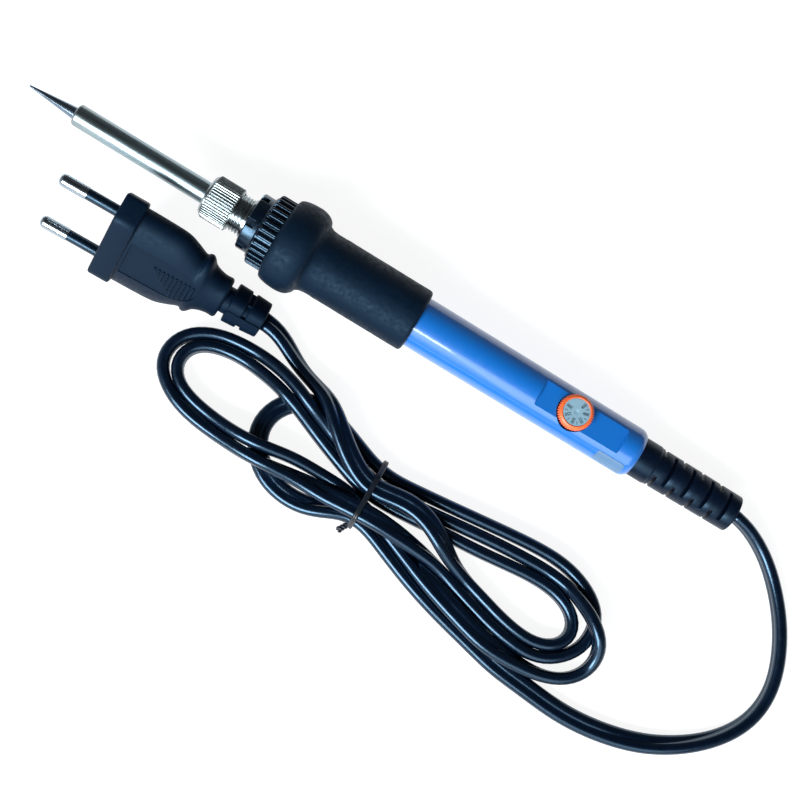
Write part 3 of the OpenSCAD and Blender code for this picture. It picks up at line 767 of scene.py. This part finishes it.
# -------- tip, barrel and nut
def arc(middle, size, start, end, steps, weight):
    """Outline points of an elliptic arc in stations and radii, between two angles in degrees."""
    return [
        (middle[0] + size[0] * math.cos(a), middle[1] + size[1] * math.sin(a), 0, weight)
        for a in np.radians(np.linspace(start, end, steps))
    ]


def make_tip():
    mouth, back = S_MOUTH, stations("tip")[1]
    shank, root, bore = 2.25, 3.0, 2.1
    turned("iron_tip", [
        (0.0, 0.0), (0.06, 0.16, 0.08), (0.5, 0.33, 0.3), (mouth, 2.0, 0.1), (mouth + 0.25, shank),
        (mouth + 1.8, shank), (mouth + 1.8, root), (back, root), (back, bore),
        (mouth + 5.5, bore), (mouth + 4.5, 0.0),
    ], "tip_plating", "barrel", replaced=("tip",))


def make_barrel():
    front, back = stations("barrel_tube")
    outer, bore, mouth_r, flange = 3.5, 3.1, 2.35, 5.5
    turned("steel_barrel", [
        (front + 0.12, mouth_r), (front, 2.5, 0.1), (front, 3.0, 0.25), (front + 0.55, outer, 0.35),
        (front + 12, outer), (front + 30, outer), (back - 1, outer), (back - 1, flange, 0.15),
        (back, flange, 0.15), (back, bore), (front + 1.6, bore), (front + 0.8, mouth_r),
    ], "barrel_steel", "barrel", replaced=("barrel_tube",))


def make_nut():
    """Knurled union nut. Its shoulder leaves the barrel's flange a little room."""
    knurls, depth = 48, 0.5
    crown = girth("barrel_nut")
    rim = crown - depth
    front, back = stations("barrel_nut")
    wall, hole, bore = 2.64, 3.55, 6.05
    knurling = teeth(knurls, [(0.0, 0.0), (0.14, 0.1), (0.3, 0.8), (0.42, 1.0)], depth)
    turned("knurled_nut", [
        (front, hole), (front, crown - 1.1, 0.1), (front + 0.7, rim, 0.15),
        (front + 0.85, rim, 0.05), (front + 1.15, crown, 0.2, 1), (back - 0.5, crown, 0.2, 1),
        (back - 0.25, rim, 0.05), (back, rim, 0.1), (back, bore), (front + wall, bore),
        (front + wall, hole),
    ], "nickel", "nut", replaced=("barrel_nut",), sharp=50, **knurling)


# -------- front of the handle
FLANGE_R = 7.5
HANDLE_FRONT_R, HANDLE_REAR_R = 8.2, 7.95


def make_ferrule():
    """Nickel ferrule with a real helical thread, a step and a flange held in the collar."""
    pitch, root, depth = 1.0, 5.45, 0.52
    bore, step, spigot = 3.2, 6.3, 5.2
    start, end = stations("threaded_ferrule")[0], S_COLLAR - 1.2

    def shape(s, a, r, w):
        share = (s / pitch - a / (2 * math.pi)) % 1
        height = np.interp(share, [0, 0.08, 0.4, 0.6, 0.92, 1], [0, 0, 1, 1, 0, 0])
        return r + w * depth * height

    rows = np.arange(start + 0.4, end - 0.3, 0.1)
    turned("threaded_ferrule_body", [
        (start, bore), (start, root, 0.1), *[(s, root, 0, 1) for s in rows], (end - 0.2, root),
        (S_COLLAR - 1, root, 0.1), (S_COLLAR - 1, step, 0.15), (S_COLLAR + 1, step),
        (S_COLLAR + 1, FLANGE_R), (S_COLLAR + 3, FLANGE_R), (S_COLLAR + 3, spigot),
        (S_COLLAR + 12, spigot), (S_COLLAR + 12, bore),
    ], "nickel", ROOT, shape=shape, replaced=("threaded_ferrule",), sharp=40)


def make_collar():
    """Black collar with notches in its rim, and the spigot that the handle sits on."""
    outer = girth("front_collar")
    floor_r = outer - 0.9
    half_notch, notches = 1.3, 6
    pitch = 2 * math.pi / notches
    spread = math.asin(half_notch / outer)
    steps = np.array([
        -1.15, -1.03, -0.97, -0.5, 0, 0.5, 0.97, 1.03, 1.15, 1.8, 2.4, 3.0, 3.6, 4.2, 4.8,
    ])
    first = math.radians(45)
    angles = np.concatenate([first + i * pitch + steps * spread for i in range(notches)])

    def shape(s, a, r, w):
        off = (a - first + pitch / 2) % pitch - pitch / 2
        inside = np.abs(off) < spread
        return np.where(inside, np.minimum(r, r * (1 - w) + w * floor_r / np.cos(off)), r)

    hole, bore, spigot = 6.32, 5.2, 6.18
    turned("collar_ring", [
        (S_COLLAR, hole), (S_COLLAR, outer - 0.95, 0, 1), (S_COLLAR, outer - 0.35, 0.1, 1),
        (S_COLLAR + 0.35, outer, 0.2, 1), (S_COLLAR + 2.5, outer, 0, 1),
        (S_COLLAR + 2.7, outer, 0, 0), (S_RING, outer, 0.1), (S_RING, spigot),
        (S_RING + 15, spigot), (S_RING + 15, bore), (S_COLLAR + 3, bore), (S_COLLAR + 3, FLANGE_R),
        (S_COLLAR + 1, FLANGE_R), (S_COLLAR + 1, hole),
    ], "black_plastic", ROOT, angles=angles, shape=shape, replaced=("front_collar",))


def make_ribbed_ring():
    ribs, depth = 30, 1.3
    outer = girth("cooling_ring")
    base = outer - depth
    front, back = S_RING, S_GRIP
    ribbing = teeth(ribs, [
        (0.0, 0.0), (0.13, 0.0), (0.21, 0.06), (0.25, 0.3), (0.28, 0.7), (0.33, 0.92),
        (0.41, 0.99), (0.5, 1.0),
    ], depth)
    turned("ribbed_ring", [
        (front, HANDLE_FRONT_R), (front, base - 0.3, 0.15), (front + 0.45, base, 0.1),
        (front + 0.6, base + 0.3, 0.1, 0.23), (front + 0.75, base + 0.95, 0.2, 0.73),
        (front + 1.3, outer, 0.4, 1), (back, outer, 0, 1), (back, HANDLE_FRONT_R),
    ], "black_plastic", ROOT, replaced=("cooling_ring",), sharp=55, **ribbing)


def make_grip():
    """Rubber sleeve with a flared front, faintly rumpled where the flare runs into the body."""
    flare, body, inner = girth("rubber_grip"), 10.2, HANDLE_FRONT_R
    crest = S_GRIP + 6.6
    foot = crest + 5.4
    end = S_GRIP_END
    rumple = 0.11

    def shape(s, a, r, w):
        turns = np.repeat(a, len(s), 0)
        rows = np.repeat(s, a.shape[1], 1)
        spots = np.stack([rows * 0.55, np.cos(turns) * 2.2, np.sin(turns) * 2.2], -1).reshape(-1, 3)
        wide = ripple(spots, 0.9, 3.0) + 0.6 * ripple(spots, 2.3, 11.0)
        near_foot = 0.35 + np.exp(-(((rows - foot) / 7.0) ** 2))
        return r + w * rumple * near_foot * wide.reshape(rows.shape)

    rows = [(s, body, 0, 1) for s in np.arange(foot + 3.2, end - 2.0, 0.8)]
    turned("grip_sleeve", [
        (S_GRIP, inner), (S_GRIP, 11.2), (S_GRIP + 0.12, 11.9), (S_GRIP + 0.4, flare - 1.6),
        *arc((crest, flare - 1.6), (6.2, 1.6), 172, 90, 12, 0.4),
        *arc((crest, body + 0.5), (5.4, flare - body - 0.5), 84, 6, 14, 0.8),
        (foot + 1.2, body + 0.22, 0, 1), *rows,
        *arc((end - 1.2, body - 1.2), (1.2, 1.2), 88, 2, 6, 0.2),
        (end, inner),
    ], "black_rubber", ROOT, shape=shape, replaced=("rubber_grip",), sharp=50)


# -------- handle and dial
def make_handle():
    """Glossy blue tube with a flat window round the dial's hole."""
    straight = S_GRIP_END + 6
    bulkhead, chamfer = S_RELIEF - 4.8, S_RELIEF - 2.2
    bore, cord_hole = 6.2, 5.0
    rows = [(s, np.interp(s, [straight, chamfer], [HANDLE_FRONT_R, HANDLE_REAR_R]))
            for s in np.linspace(straight, chamfer - 0.5, 14)]
    handle = turned("blue_handle", [
        (S_RING, bore), (S_RING, HANDLE_FRONT_R), *rows, (chamfer, HANDLE_REAR_R, 0.3),
        (chamfer + 1.0, HANDLE_REAR_R - 0.22, 0.4), (S_RELIEF, HANDLE_REAR_R - 1, 0.3),
        (S_RELIEF, cord_hole), (bulkhead, cord_hole), (bulkhead, bore),
    ], "blue_plastic", ROOT, angles=full_turn(128), replaced=("handle_shell",), sharp=18)
    window_floor, half_wide = 6.9, 4.5
    window = oblong(S_DIAL - 12.1, -half_wide, S_DIAL + 17.1, half_wide, 1.5, 6)
    hole_r = DIAL_R + 0.2
    hole = [(S_DIAL + hole_r * math.cos(a), hole_r * math.sin(a)) for a in full_turn(96)]
    carve(handle, [prism(window, window_floor, 12), prism(hole, 2, 11)], IRON, sharp=18)


def make_label():
    """Blank sticker that follows the handle round."""
    low, high = stations("blank_label")
    start, end = np.radians((134, 172))
    radius = HANDLE_REAR_R + 0.05
    half_long, half_wide = (high - low) / 2, (end - start) / 2 * radius
    outline = oblong(-half_long, -half_wide, half_long, half_wide, 0.9, 6)
    ends = np.roll(outline, -1, axis=0)
    outline = np.array([
        p + (q - p) * t for p, q in zip(outline, ends) for t in np.linspace(0, 1, 7)[:-1]
    ])
    thick, lip = 0.13, 0.09
    rings = []
    for share, lift in (
        (0.02, thick), (0.5, thick), (0.97, thick), (1.0, lip), (1.0, 0.0), (0.02, 0.0),
    ):
        s = (low + high) / 2 + outline[:, 0] * share
        a = (start + end) / 2 + outline[:, 1] * share / radius
        rings.append(np.column_stack([s, (radius + lift) * np.cos(a), (radius + lift) * np.sin(a)]))
    piece("sticker", [tube(rings)], "label_film", ROOT, replaced=("blank_label",), sharp=50)


def make_dial():
    """Knurled orange rim, and in it the plate that carries the scale."""
    knurls, depth = 44, 0.32
    rim, low, top = DIAL_R, DIAL_LOW, DIAL_HIGH
    face_r, face_low, shaft = 4.2, top - 0.5, 1.5
    knurling = teeth(knurls, [(0.0, 0.0), (0.15, 0.1), (0.32, 0.85), (0.44, 1.0)], depth)
    turned("orange_dial", [
        (low, shaft), (low, rim - 0.2, 0.1, 1), (low + 0.3, rim, 0.15, 1),
        (top - 0.75, rim, 0.25, 1), (top - 0.3, rim - 0.45, 0.25, 0.2), (top, rim - 1.0, 0.3),
        (top, face_r + 0.15, 0.08), (top - 0.15, face_r, 0.05), (face_low, face_r),
        (face_low, 0.0), (top - 1.4, 0.0), (top - 1.4, shaft),
    ], "orange_plastic", "dial", replaced=("dial_rim",), place=DIAL, sharp=45, **knurling)
    turned("dial_plate", [
        (face_low, 0.0), (face_low, face_r), (face_low + 0.24, face_r, 0.04),
        (face_low + 0.3, face_r - 0.2, 0.1), (face_low + 0.3, 0.75, 0.1),
        (face_low + 0.18, 0.5, 0.1), (face_low + 0.16, 0.0),
    ], "dial_print", "dial", replaced=("dial_face",), place=DIAL, sharp=40)


def print_dial():
    """Six temperatures round the dial's face, read along its radii, with a tick between them."""
    numbers = ["200", "250", "300", "350", "400", "450"]
    first, pitch, text_size = 171.0, 51.4, 1.3
    middle_r, tick_r = 2.75, 3.65
    level = DIAL_HIGH - 0.2 + 0.012
    shells = []
    for number, text in enumerate(numbers):
        angle = math.radians(first + number * pitch)
        font = bpy.data.curves.new("mark", "FONT")
        font.body = text
        font.size = text_size
        font.align_x = "CENTER"
        font.align_y = "CENTER"
        font.extrude = 0.01
        font.offset = 0.03
        label = bpy.data.objects.new("mark", font)
        mesh = bpy.data.meshes.new_from_object(label)
        flat = np.array([v.co for v in mesh.vertices])
        faces = [tuple(p.vertices) for p in mesh.polygons]
        bpy.data.objects.remove(label)
        shells.append((on_dial(flat, angle, middle_r, level), faces))
    for gap in range(len(numbers) - 1):
        angle = math.radians(first + (gap + 0.5) * pitch)
        bar, faces = prism(oblong(-0.85, -0.1, 0.1, 0.1), -0.01, 0.01)
        shells.append((on_dial(bar, angle, tick_r, level), faces))
    piece("dial_marks", shells, "dial_ink", "dial", slot="dial_print", place=DIAL, sharp=30)


def on_dial(flat, angle, radius, level):
    """Flat points whose X runs outwards, turned to an angle from the iron's axis on the dial."""
    x = flat[:, 0] + radius
    y = flat[:, 1]
    ahead = x * math.cos(angle) - y * math.sin(angle)
    across = x * math.sin(angle) + y * math.cos(angle)
    return np.column_stack([level + flat[:, 2], across, -ahead])


# -------- strain relief
def make_relief():
    """Rubber relief with slots cut from its sides and from above and below in turn."""
    pitch, slots, slot_wide = 6.6, 4, 1.05
    first = S_RELIEF + 7.5
    side_floor, top_floor = 3.3, 3.6
    rear_r = 5.9

    def radius_at(s):
        return np.interp(s, [S_RELIEF + 6.3, S_END], [6.15, rear_r])

    half = slot_wide / 2
    slot = ((-half - 0.18, 0), (-half - 0.04, 0.05), (-half, 0.2), (-half + 0.04, 1))
    rows = []
    for i in range(slots):
        for centre, kind in ((first + pitch * i, 1), (first + pitch * (i + 0.5), -1)):
            for off, depth in (*slot, *[(-off, depth) for off, depth in slot[::-1]]):
                rows.append((centre + off, radius_at(centre + off), 0, kind * depth))

    def shape(s, a, r, w):
        from_side = side_floor / np.maximum(np.abs(np.cos(a)), 1e-3)
        from_top = top_floor / np.maximum(np.abs(np.sin(a)), 1e-3)
        flat = np.where(w > 0, from_side, from_top)
        deep = np.abs(w)
        return r * (1 - deep) + np.minimum(r, flat) * deep

    turned("cord_relief", [
        (S_ROOT, 0.0), (S_ROOT, 6.0), (S_ROOT + 2, 6.0), (S_ROOT + 2, 5.0),
        (S_RELIEF, 5.0), (S_RELIEF, 6.4, 0.15), (S_RELIEF + 5.6, 6.4, 0.2),
        (S_RELIEF + 6.1, 6.16, 0.1), *rows, (S_END, rear_r, 0.35), (S_END, 0.0),
    ], "relief_rubber", ROOT, angles=full_turn(144), shape=shape, replaced=("strain_relief",),
        sharp=40)


# -------- plug
def oval(x, wide, thick, power, count=64):
    """A ring of a superellipse across the plug's axis at station x."""
    a = full_turn(count)
    c, s = np.cos(a), np.sin(a)
    y = wide * np.sign(c) * np.abs(c) ** (2 / power)
    z = thick * np.sign(s) * np.abs(s) ** (2 / power)
    return np.column_stack([np.full(count, x), y, z])


# The flat grip on each side of the plug, half round at its rear end
FACET_FROM, FACET_HALF, FACET_ROUND = 8.0, 6.4, 9.7
FACET_BEND = FACET_FROM + 23.7 - FACET_ROUND


def facet_level(x):
    """Height of the plug's flat grip over its middle plane."""
    return np.interp(x, [7, 32], [5.72, 5.12])


def facet_half(x):
    """Half the width of the plug's flat grip at station x."""
    into_round = max(0.0, x - FACET_BEND) / FACET_ROUND
    return FACET_HALF * math.sqrt(max(0.0, 1 - into_round**2))


def make_plug():
    """Moulded plug: six-sided flange, rounded body with a flat grip each side, ribbed neck."""
    keys = catmull([
        (6.0, 15.0, 6.4), (14, 15.0, 6.2), (21, 14.6, 6.05), (25, 12.9, 5.95), (28.4, 10.95, 5.82),
        (29.4, 11.7, 5.78), (30.3, 12.0, 5.74), (31.3, 11.2, 5.7), (32.5, 9.2, 5.58),
        (34.2, 8.0, 5.42), (36.6, 7.25, 5.28), (38.7, 7.4, 5.2),
    ], 6)
    keys = [*keys, (39.2, 7.1, 5.0), (39.5, 6.6, 4.6)]
    body = tube([oval(x, wide, thick, 2.25) for x, wide, thick in keys])
    point, flat, thick = 17.65, 12.3, 6.85
    flange = rounded([
        (point, 0, 1.3), (flat, thick, 1.8), (-flat, thick, 1.8), (-point, 0, 1.3),
        (-flat, -thick, 1.8), (flat, -thick, 1.8),
    ], 5)[:, :2]
    rings = []
    for x, inset in (
        (0, 0.7), (0.12, 0.34), (0.4, 0.1), (0.75, 0),
        (6.5, 0), (6.85, 0.12), (7.1, 0.4), (7.2, 0.8),
    ):
        scale = 1 - inset / np.array([point, thick])
        rings.append(np.column_stack([np.full(len(flange), x), flange * scale]))
    made = piece(
        "moulded_plug", [body, tube(rings)], "plug_pvc", ROOT, replaced=("plug_body",), place=PLUG,
        sharp=32,
    )
    plan = [(FACET_FROM, -FACET_HALF), *[
        (FACET_BEND + FACET_ROUND * math.cos(a), FACET_HALF * math.sin(a))
        for a in np.radians(np.linspace(-90, 90, 17))
    ], (FACET_FROM, FACET_HALF)]
    cutters = []
    for side in (-1, 1):
        floor = np.array([(x, y, side * facet_level(x)) for x, y in plan])
        above = floor.copy()
        above[:, 2] = side * 9.0
        cutters.append(tube([floor, above]))
    carve(made, cutters, PLUG, sharp=32)
    make_neck()
    make_ridges()


def make_neck():
    """Two square-shouldered blocks on a core, with a raised rib along each flat side."""
    core = ((39.3, 4.3), (42.2, 4.3), (42.3, 4.7), (51, 4.5))
    shells = [tube([oval(x, r, r, 2, 40) for x, r in core])]
    for low, high, start, end in ((41.5, 46.3, 5.7, 5.5), (47.6, PLUG_LONG, 5.45, 5.1)):
        long = high - low
        rings = []
        for x, inset in (
            (0, 0.5), (0.1, 0.18), (0.35, 0.0), (long - 0.35, 0.0), (long - 0.1, 0.18), (long, 0.5),
        ):
            size = np.interp(x, [0, long], [start, end]) - inset
            rings.append(oval(low + x, size, size * 0.97, 3.2, 48))
        shells.append(tube(rings))
    front, back = 41.6, PLUG_LONG - 0.3
    rib = rounded([
        (front, -1.5, 0.4), (back, -1.3, 0.4), (back, 1.3, 0.4), (front, 1.5, 0.4),
    ])[:, :2]
    for side in (-1, 1):
        points, faces = prism(rib, 4.4, 5.75)
        points = points * (1, 1, side)
        points[:, 2] *= np.interp(points[:, 0], [front, PLUG_LONG], [1.0, 0.94])
        shells.append((points, faces))
        points, faces = prism(oblong(46, -2.6, 48, 2.6), 4.2, 5.0)
        shells.append(((points * (1, 1, side))[:, (0, 2, 1)], faces))
    piece("plug_neck", shells, "plug_pvc", ROOT, place=PLUG, sharp=32)


def make_ridges():
    """Grip ridges across the plug's flats, each a little longer than the last."""
    first, pitch, count, half = 17.3, 1.42, 10, 0.42
    shells = []
    for side in (-1, 1):
        for j in range(count):
            x = first + pitch * j
            edge = facet_half(x) - 0.5
            top = min(2.3, edge)
            low = max(top - min(1.5 + 1.3 * j, 8.3), -edge)
            outline = oblong(x - half, low, x + half, top, 0.3)
            centre = outline.mean(axis=0)
            away = outline - centre
            size = np.abs(away).max(axis=0)
            levels = []
            for inset, lift in ((0.0, -0.3), (0.0, 0.15), (0.12, 0.36), (0.3, 0.42)):
                level = np.full(len(away), (facet_level(x) + lift) * side)
                levels.append(np.column_stack([centre + away * (1 - inset / size), level]))
            shells.append(tube(levels))
    piece("plug_grip_ridges", shells, "plug_pvc", ROOT, place=PLUG, sharp=45)


# -------- put it together
def finish_cad_nodes():
    """Gives every CAD node that stays visible its procedural material."""
    for node in frame["nodes"].values():
        for slot in node.material_slots:
            key = slot.material.name.split(".")[0]
            if key in COATS:
                slot.material = COATS[key]


for make in (
    make_tip, make_barrel, make_nut, make_ferrule, make_collar, make_ribbed_ring, make_grip,
    make_handle, make_label, make_dial, print_dial, make_relief, make_plug, wind_tie, lay_cord,
    finish_cad_nodes,
):
    make()
